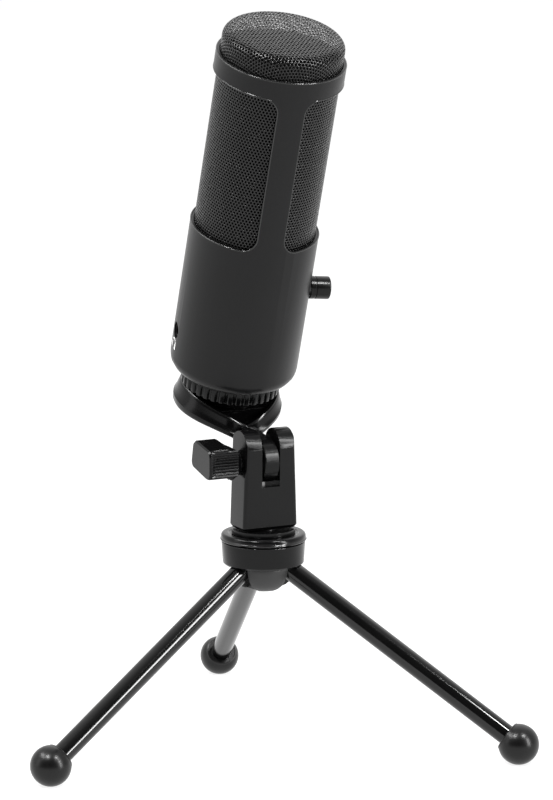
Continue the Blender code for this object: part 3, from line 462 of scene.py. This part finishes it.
def make_dome():
    """The pressed top: its holes follow the sheet over the shoulder and down the wall."""
    radius = radius_of("top_grille", MIC)
    high = heights("top_grille", MIC)[1]
    flat = radius - DOME_SHOULDER
    bend = DOME_SHOULDER * math.pi / 2

    def warp(u, v):
        along = math.hypot(u, v)
        angle = math.atan2(v, u)
        if along < flat:
            reach = along
            height = high - DOME_CROWN * (along / flat) ** 2
        elif along < flat + bend:
            turn = (along - flat) / DOME_SHOULDER
            reach = flat + DOME_SHOULDER * math.sin(turn)
            height = high - DOME_CROWN - DOME_SHOULDER * (1 - math.cos(turn))
        else:
            reach = radius
            height = high - DOME_CROWN - DOME_SHOULDER - (along - flat - bend)
        return (reach * math.cos(angle), reach * math.sin(angle), height)

    limit = flat + bend + DOME_WALL
    square = lattice(-limit, limit, -limit, limit, DOME_PITCH)
    centres = [(u, v) for u, v in square if math.hypot(u, v) < limit]
    work = perforated(centres, DOME_PITCH, DOME_HOLE, warp)
    item = piece("grille_dome", work, MIC, "microphone", "grille", "top_grille")
    shade(thicken(item, SHEET), 40)


def make_foam():
    """The foam lining behind the perforated sheets."""
    low, high = heights("foam_windscreen", MIC)
    radius = radius_of("foam_windscreen", MIC)
    corner = 3.0 * MM
    bands = 16
    outline = [(0.0, high)] + arc((radius - corner, high - corner), corner, 90, 0, 6)
    outline += [(radius, high - (high - low) * i / bands) for i in range(1, bands)]
    outline += [(radius, low), (0.0, low)]
    item = piece("foam_lining", lathe(outline, 64), MIC, "microphone", "foam", "foam_windscreen")
    shade(item, 60)


# --- legs and feet ---------------------------------------------------------------------------

TUBE_STEPS = 56
TIP_SHARE = 0.97
LEG_PAST_FOOT = 3.0 * MM
MOUTH_RADIUS = 6.0 * MM
MOUTH_STEP = 0.6 * MM
SOCKET_GAP = 0.05 * MM
SOCKET_DEPTH = 1.5 * MM


def make_leg(side, number):
    """A tube with a round head, and the rubber ball it stands on."""
    node = f"leg_{number}"
    body = f"{side}_leg"
    pin = joint_point(f"{side}_leg_fold")
    reach = [(point, (point - pin).length) for point in local_points(node, Matrix())]
    farthest = max(length for point, length in reach)
    tips = [point for point, length in reach if length > TIP_SHARE * farthest]
    way = sum(tips, Vector()) / len(tips) - pin
    place = frame_at(pin, Vector((0, 0, 1)), way)
    low, high = heights(node, place)
    radius = radius_of(node, place)
    outline = arc((0, 0), radius, -90, 0, 10, -low)
    outline[0] = (0.0, low)
    outline += [(radius, high), (0.0, high)]
    shade(piece(f"leg_tube_{number}", lathe(outline, TUBE_STEPS), place, body, "legs", node))
    make_foot(number, body, place, radius + SOCKET_GAP, high - LEG_PAST_FOOT)


def make_foot(number, body, place, socket, middle):
    """A rubber ball with a stepped mouth round the tube, flat where it stands on the floor."""
    node = f"foot_{number}"
    ball = heights(node, place)[1] - middle
    start = math.degrees(math.acos(MOUTH_RADIUS / ball))
    outline = [(0.0, middle + ball)] + arc((0, middle), ball, 90, -start, 26)[1:]
    mouth = outline[-1][1]
    outline += [(MOUTH_RADIUS - 0.1 * MM, mouth - 0.35 * MM),
                (MOUTH_RADIUS - 0.5 * MM, mouth - MOUTH_STEP),
                (socket, mouth - MOUTH_STEP), (socket, mouth + SOCKET_DEPTH)]
    work = lathe(outline, TUBE_STEPS)
    back = place.inverted()
    for vertex in work.verts:
        spot = place @ vertex.co
        if spot.z < 0:
            vertex.co = back @ Vector((spot.x, spot.y, 0.0))
    shade(piece(f"foot_ball_{number}", work, place, body, "rubber", node), 30)


# --- thumb knob ------------------------------------------------------------------------------

WING = [(8.8 * MM, -1.0 * MM), (-8.8 * MM, -5.0 * MM), (-8.8 * MM, 6.8 * MM), (6.5 * MM, 9.6 * MM)]
WING_CORNER = 2.5 * MM
KNOB_HUB = 6.7 * MM
KNOB_NECK = 5.0 * MM
NECK_LENGTH = 2.4 * MM
RIB_PITCH = 1.15 * MM
RIB_DEPTH = 0.5 * MM
RIB_SHAPE = (0.0, 0.6, 1.0, 0.6)
FACE_ROUNDING = 0.07

# Where each change along or across the knob starts and where it is complete
NEAR_SIDE = (5.5 * MM, 8.2 * MM)
HUB_TO_WING = (3.2 * MM, 7.0 * MM)
HUB_RIBS_END = (4.0 * MM, 7.0 * MM)


def knob_depths(low, high):
    """Depths of the knob's rows: close together where its section changes quickly."""
    depths = [low + step * MM for step in (0.0, 0.7, 0.71, 1.2, 2.4)]
    depths += [low + (2.8 + 0.7 * i) * MM for i in range(12)]
    depths += [high - step * MM for step in (3.1, 0.5, 0.3, 0.0)]
    return depths


def make_thumb_knob():
    """A wing on a round hub. Its near side and the hub are ribbed along the pivot."""
    low, high = heights("thumb_knob", KNOB)
    points = evenly(rounded(WING, WING_CORNER, 8), RIB_PITCH / len(RIB_SHAPE))
    work = bmesh.new()
    rows = []
    for depth in knob_depths(low, high):
        span = high - depth
        neck = 1.0 - ease(span, 0.0, NECK_LENGTH)
        past_face = ease(depth, low + 0.9 * MM, low + 1.5 * MM)
        edge = 1.0 - FACE_ROUNDING * (1.0 - ease(depth, low - 0.2 * MM, low + 0.7 * MM))
        row = []
        for i, point in enumerate(points):
            near = ease(-point.x, *NEAR_SIDE)
            wing = max(ease(span, *HUB_TO_WING), near * ease(span, 0.0, 2.2 * MM))
            spot = (point.normalized() * KNOB_HUB).lerp(point, wing)
            spot = spot.lerp(point.normalized() * KNOB_NECK, neck)
            ribbed = max(near, 1.0 - ease(span, *HUB_RIBS_END)) * past_face
            groove = RIB_SHAPE[i % len(RIB_SHAPE)] * RIB_DEPTH * ribbed * (1.0 - neck)
            spot = spot * (1 - groove / spot.length)
            row.append(work.verts.new((edge * spot.x, edge * spot.y, depth)))
        rows.append(row)
    skin(work, rows)
    for row, height in ((rows[0], low), (rows[-1], high)):
        middle = work.verts.new((0.0, 0.0, height))
        for i in range(len(row)):
            work.faces.new((row[i - 1], row[i], middle))
    shade(piece("thumb_knob_ribbed", work, KNOB, "tilt_knob", "stand", "thumb_knob"), 18)


# --- cradle ----------------------------------------------------------------------------------

# The band runs round the microphone's axis and dips towards the front
BAND_STEPS = 144
BAND_OUTER = 21.5 * MM
BAND_RIM = 19.3 * MM
BAND_BORE = 17.8 * MM
BAND_TOP = 14.2 * MM
BAND_BOTTOM = 4.7 * MM
DIP_REACH = math.radians(95)
TOP_DIP = 8.6 * MM
TOP_DIP_POWER = 1.9
BOTTOM_DIP = 7.6 * MM
BOTTOM_DIP_POWER = 3.4

# The stretch of the band's section, counted from its first point, that is the lip, given the glossy edge finish
# whose lighter colour is a painted highlight
LIP_ROW = 9

SEAT_LOW = 7.7 * MM
SEAT_HIGH = 9.5 * MM
SEAT_FRONT = 13.2 * MM
SEAT_SIDE = 11.5 * MM
STUD_GAP = 0.05 * MM
TONGUE_RADIUS = 8.4 * MM
TONGUE_HALF = 3.0 * MM
TONGUE_INSET = 0.35 * MM
WEB_HALF = 11.5 * MM
WEB_TOP = 9.3 * MM
WEB_SIDE = 6.5 * MM
WEB_FOOT_HALF = 4.0 * MM
WEB_FOOT = 2.0 * MM
WEB_DEPTH = 1.0 * MM
WEB_INSET = 0.15 * MM


def band_section(azimuth):
    """The band's outline at an azimuth from the front, as radius and height."""
    share = max(0.0, 1.0 - abs(azimuth) / DIP_REACH)
    low = BAND_BOTTOM - BOTTOM_DIP * share ** BOTTOM_DIP_POWER
    high = BAND_TOP - TOP_DIP * share ** TOP_DIP_POWER
    tall = high - low
    return [(BAND_BORE, low + 0.3 * MM), (BAND_BORE + 0.3 * MM, low), (BAND_OUTER - 1.5 * MM, low),
            (BAND_OUTER - 0.5 * MM, low + 0.4 * MM), (BAND_OUTER, low + 1.3 * MM),
            (BAND_OUTER, low + 0.34 * tall), (BAND_OUTER - 0.5 * MM, low + 0.42 * tall),
            (BAND_OUTER - 1.0 * MM, low + 0.62 * tall), (BAND_RIM + 0.5 * MM, high - 1.2 * MM),
            (BAND_RIM + 0.25 * MM, high - 0.35 * MM), (BAND_RIM - 0.1 * MM, high),
            (BAND_BORE + 0.3 * MM, high), (BAND_BORE, high - 0.3 * MM)]


def seat_section(azimuth, stud):
    """The seat's outline at an azimuth: a plate from the stud to the band, cut flat in front."""
    wide = BAND_BORE + 1.0 * MM
    if abs(azimuth) < math.atan(SEAT_SIDE / SEAT_FRONT):
        wide = SEAT_FRONT / math.cos(azimuth)
    return [(stud, SEAT_LOW), (wide, SEAT_LOW), (wide, SEAT_HIGH), (stud, SEAT_HIGH)]


def section_row(work, section, azimuth, centre):
    """Vertices of a section of radius and height, swung to an azimuth round a centre."""
    across = math.sin(azimuth)
    along = -math.cos(azimuth)
    return [work.verts.new((reach * across, centre + reach * along, height))
            for reach, height in section]


def make_cradle():
    """The swept band, its seat, the web under the seat and the tongue on the pivot."""
    centre = (TILTED.inverted() @ joint_point("mic_turn")).y
    stud = bore_of("lock_ring", RING) + STUD_GAP
    work = bmesh.new()
    band = []
    seat = []
    for i in range(BAND_STEPS):
        azimuth = 2 * math.pi * i / BAND_STEPS - math.pi
        band.append(section_row(work, band_section(azimuth), azimuth, centre))
        seat.append(section_row(work, seat_section(azimuth, stud), azimuth, centre))
    skin(work, band, True)
    skin(work, seat, True)
    front = centre - BAND_OUTER + 1.6 * MM
    front_heights = [height for reach, height in band_section(0.0)]
    tongue = arc((0, 0), TONGUE_RADIUS, 80, 275, 44)
    tongue += [(front, min(front_heights) + 0.2 * MM), (front, max(front_heights) - 0.2 * MM)]
    slab(work, tongue, -TONGUE_HALF, TONGUE_HALF, lambda u, v, depth: (depth, u, v), TONGUE_INSET)
    web = [(-WEB_HALF, WEB_TOP), (WEB_HALF, WEB_TOP), (WEB_HALF, WEB_SIDE),
           (WEB_FOOT_HALF, WEB_FOOT), (-WEB_FOOT_HALF, WEB_FOOT), (-WEB_HALF, WEB_SIDE)]
    face = centre - SEAT_FRONT
    slab(work, web, face - WEB_DEPTH, face, lambda u, v, depth: (u, depth, v), WEB_INSET)
    item = piece("cradle_swept", work, TILTED, "cradle", "stand", "cradle")
    # the lip's faces take the glossy edge finish; its lighter colour is a painted highlight
    item.data.materials.append(EDGE_HIGHLIGHT_FINISH)
    size = len(front_heights)
    for polygon in item.data.polygons[:size * BAND_STEPS]:
        if polygon.index % size == LIP_ROW:
            polygon.material_index = 1
    shade(item, 32)


# --- microphone details ----------------------------------------------------------------------

VOLUME_CORNER = 0.55 * MM
VOLUME_DISH = 0.15 * MM
VOLUME_GROOVE = 2.2 * MM
GROOVE_DEPTH = 0.25 * MM
RING_HEIGHT = 5.2 * MM
RING_RIBS = 36
KNURL_DEPTH = 0.75 * MM

# Windows of the barrel, with heights above its base, and the beads round them
WINDOW_LOW = 63.2 * MM
WINDOW_HIGH = 127.3 * MM
WINDOW_HALF = math.radians(78)
WINDOW_CORNER = 6.0 * MM
BEAD = 0.3 * MM
BEAD_PITCH = 0.8 * MM
BEAD_SIDES = 10

# The headphone sign: its height on the barrel, its band's two radii and its ear pads
SIGN_HEIGHT = 11.4 * MM
SIGN_BAND = (1.75 * MM, 2.25 * MM)
SIGN_STEPS = 24
PAD_OUT = 1.85 * MM
PAD_DOWN = -0.9 * MM
PAD = [(-0.55 * MM, -1.3 * MM), (0.55 * MM, -1.3 * MM), (0.55 * MM, 1.0 * MM), (-0.55 * MM, 1.0 * MM)]
PAD_CORNER = 0.4 * MM
PRINT_PROUD = 0.03 * MM
PRINT_THICKNESS = 0.06 * MM


def make_volume_knob():
    """A turned knob with a dished face, a rounded corner and a groove near its foot."""
    low, high = heights("volume_knob", VOLUME)
    radius = radius_of("volume_knob", VOLUME)
    groove = low + VOLUME_GROOVE
    outline = [(0.0, high - VOLUME_DISH), (radius * 0.72, high - VOLUME_DISH), (radius * 0.76, high)]
    outline += arc((radius - VOLUME_CORNER, high - VOLUME_CORNER), VOLUME_CORNER, 90, 0, 5)
    outline += [(radius, groove + 0.35 * MM), (radius - GROOVE_DEPTH, groove + 0.2 * MM),
                (radius - GROOVE_DEPTH, groove - 0.2 * MM), (radius, groove - 0.35 * MM),
                (radius, low + 0.2 * MM), (radius - 0.2 * MM, low), (0.0, low)]
    work = lathe(outline, 72)
    shade(piece("volume_knob_turned", work, VOLUME, "volume", "knob", "volume_knob"), 40)


def make_lock_ring():
    """The knurled ring: each rib is a land with a groove on both sides."""
    low, high = heights("lock_ring", RING)
    radius = radius_of("lock_ring", RING)
    bore = bore_of("lock_ring", RING)
    bottom = high - RING_HEIGHT
    foot = [point for point in local_points("lock_ring", RING) if point.z < low + 0.1 * MM]
    sleeve = max(math.hypot(point.x, point.y) for point in foot)

    def knurl(angle, reach):
        phase = (angle * RING_RIBS / (2 * math.pi)) % 1.0
        depth = ease(abs(phase - 0.5), 0.24, 0.42)
        share = ease(reach, radius - 1.3 * MM, radius - 0.2 * MM)
        return reach - KNURL_DEPTH * depth * share

    outline = [(bore, high), (radius - 0.35 * MM, high), (radius - 0.1 * MM, high - 0.1 * MM),
               (radius, high - 0.35 * MM), (radius, bottom + 0.35 * MM),
               (radius - 0.1 * MM, bottom + 0.1 * MM), (radius - 0.35 * MM, bottom),
               (sleeve + 0.3 * MM, bottom), (sleeve, bottom - 0.3 * MM), (sleeve, low), (bore, low)]
    work = lathe(outline, RING_RIBS * 10, True, knurl)
    shade(piece("lock_ring_knurled", work, RING, "lock_ring", "stand", "lock_ring"), 30)


def make_rims():
    """The bright rounded rims of the two windows and of the collar's mouth, in the glossy edge finish whose
    lighter colour is a painted highlight.
    """
    radius = radius_of("body_shell", MIC)
    half = radius * WINDOW_HALF
    corners = [(-half, WINDOW_LOW), (half, WINDOW_LOW), (half, WINDOW_HIGH), (-half, WINDOW_HIGH)]
    path = evenly(rounded(corners, WINDOW_CORNER, 12), BEAD_PITCH)
    for name, middle in (("rim_right", 0.0), ("rim_left", math.pi)):
        work = bmesh.new()
        rows = []
        for i, point in enumerate(path):
            along = (path[(i + 1) % len(path)] - path[i - 1]).normalized()
            sunk = (0.17 + 0.15 * abs(along.y)) * MM
            row = []
            for j in range(BEAD_SIDES):
                turn = 2 * math.pi * j / BEAD_SIDES
                u = point.x + BEAD * math.cos(turn) * along.y
                v = point.y - BEAD * math.cos(turn) * along.x
                reach = radius - sunk + BEAD * math.sin(turn)
                angle = middle + u / radius
                row.append(work.verts.new((reach * math.cos(angle), reach * math.sin(angle), v)))
            rows.append(row)
        skin(work, rows, True)
        refinish(shade(piece(name, work, MIC, "microphone", "shell"), 80), EDGE_HIGHLIGHT_FINISH)
    top = heights("body_shell", MIC)[1]
    outline = arc((radius - 0.25 * MM, top - 0.2 * MM), BEAD, 0, 330, 11)
    work = lathe(outline, 128, True)
    refinish(shade(piece("rim_collar", work, MIC, "microphone", "shell"), 80), EDGE_HIGHLIGHT_FINISH)


def make_print():
    """A small headphone sign under the jack."""
    work = bmesh.new()
    radius = radius_of("body_shell", MIC) + PRINT_PROUD

    def on_barrel(u, v):
        angle = math.pi + u / radius
        spot = (radius * math.cos(angle), radius * math.sin(angle), SIGN_HEIGHT + v)
        return work.verts.new(spot)

    inner, outer = [[on_barrel(u, v) for u, v in arc((0, 0), reach, 180, 0, SIGN_STEPS)]
                    for reach in SIGN_BAND]
    for i in range(SIGN_STEPS):
        work.faces.new((inner[i], inner[i + 1], outer[i + 1], outer[i]))
    for side in (-1, 1):
        work.faces.new([on_barrel(side * PAD_OUT + point.x, PAD_DOWN + point.y)
                        for point in rounded(PAD, PAD_CORNER, 5)])
    item = piece("headphone_sign", work, MIC, "microphone", "shell")
    refinish(item, PRINT_FINISH)
    thicken(item, PRINT_THICKNESS)


# --- stage, lights, camera -------------------------------------------------------------------

def way_from(azimuth, elevation):
    """The direction of a point seen from the stand, with 0 azimuth at the front."""
    level = math.cos(elevation)
    return Vector((math.sin(azimuth) * level, -math.cos(azimuth) * level, math.sin(elevation)))


def make_camera():
    lens = bpy.data.cameras.new("camera")
    lens.sensor_width = 36
    lens.lens = LENS
    lens.clip_start = 0.1
    lens.clip_end = 20
    camera = bpy.data.objects.new("camera", lens)
    bpy.context.scene.collection.objects.link(camera)
    back = way_from(0.0, VIEW_ELEVATION)
    x = Vector((0, 0, 1)).cross(back).normalized()
    y = back.cross(x)
    turn = Matrix((x, y, back)).transposed().to_4x4() @ Matrix.Rotation(VIEW_ROLL, 4, "Z")
    spot = Matrix.Translation(VIEW_TARGET + back * VIEW_DISTANCE)
    camera.matrix_world = STAND @ Matrix.Rotation(VIEW_AZIMUTH, 4, "Z") @ spot @ turn
    bpy.context.scene.camera = camera


def make_floor():
    """A matt pale floor that glows a little, so that it stays light under the dark object."""
    work = bmesh.new()
    bmesh.ops.create_grid(work, x_segments=1, y_segments=1, size=FLOOR_REACH)
    mesh = bpy.data.meshes.new("floor")
    work.to_mesh(mesh)
    work.free()
    floor = bpy.data.objects.new("floor", mesh)
    bpy.context.scene.collection.objects.link(floor)
    surface = bpy.data.materials.new("pale_floor")
    surface.use_nodes = True
    shader = surface.node_tree.nodes["Principled BSDF"]
    shader.inputs["Base Color"].default_value = (FLOOR_GREY, FLOOR_GREY, FLOOR_GREY, 1)
    shader.inputs["Roughness"].default_value = 0.9
    shader.inputs["Specular IOR Level"].default_value = 0.0
    shader.inputs["Emission Color"].default_value = (1, 1, 1, 1)
    shader.inputs["Emission Strength"].default_value = FLOOR_GLOW
    mesh.materials.append(surface)


def make_surroundings():
    """A white room that is darker on the side the camera stands on."""
    world = bpy.data.worlds.new("studio")
    world.use_nodes = True
    tree = world.node_tree
    place = tree.nodes.new("ShaderNodeTexCoord")
    parts = tree.nodes.new("ShaderNodeSeparateXYZ")
    link(tree, place.outputs["Generated"], parts.inputs["Vector"])
    depth = tree.nodes.new("ShaderNodeMapRange")
    depth.inputs["From Min"].default_value = -1.0
    link(tree, parts.outputs["Y"], depth.inputs["Value"])
    ramp = tree.nodes.new("ShaderNodeValToRGB")
    dark, bright = ramp.color_ramp.elements
    dark.position = ROOM_DARK
    dark.color = (FRONT_LEVEL, FRONT_LEVEL, FRONT_LEVEL, 1)
    bright.position = ROOM_BRIGHT
    bright.color = (1, 1, 1, 1)
    link(tree, depth.outputs["Result"], ramp.inputs["Fac"])
    link(tree, ramp.outputs["Color"], tree.nodes["Background"].inputs["Color"])
    tree.nodes["Background"].inputs["Strength"].default_value = ROOM_STRENGTH
    bpy.context.scene.world = world
    bpy.context.scene.view_settings.view_transform = "Standard"


def softbox(name, azimuth, elevation, distance, width, height, power):
    """An area light that looks at the object's middle and isn't seen itself."""
    lamp = bpy.data.lights.new(name, "AREA")
    lamp.shape = "RECTANGLE"
    lamp.size = width
    lamp.size_y = height
    lamp.energy = power
    item = bpy.data.objects.new(name, lamp)
    bpy.context.scene.collection.objects.link(item)
    item.visible_camera = False
    back = way_from(math.radians(azimuth) + VIEW_AZIMUTH, math.radians(elevation))
    middle = HUB + Vector((0, 0, LIT_HEIGHT))
    turn = back.to_track_quat("Z", "Y").to_matrix().to_4x4()
    item.matrix_world = Matrix.Translation(middle + back * distance) @ turn


# --- making ----------------------------------------------------------------------------------

make_camera()
make_floor()
make_surroundings()
for name, setting in LAMPS.items():
    softbox(name, *setting)
for subpart in frame["record"]["subparts"]:
    node = subpart["node"]
    if node not in REMADE:
        carry_over(node, subpart["material_slot"], EDGES.get(node, 0.0))
NODES["hub_cap"].data.materials[0] = CAP_FINISH
make_side_grilles()
make_dome()
make_foam()
make_print()
make_rims()
make_volume_knob()
make_lock_ring()
make_thumb_knob()
make_cradle()
for number, side in enumerate(("left", "right", "back"), 1):
    make_leg(side, number)
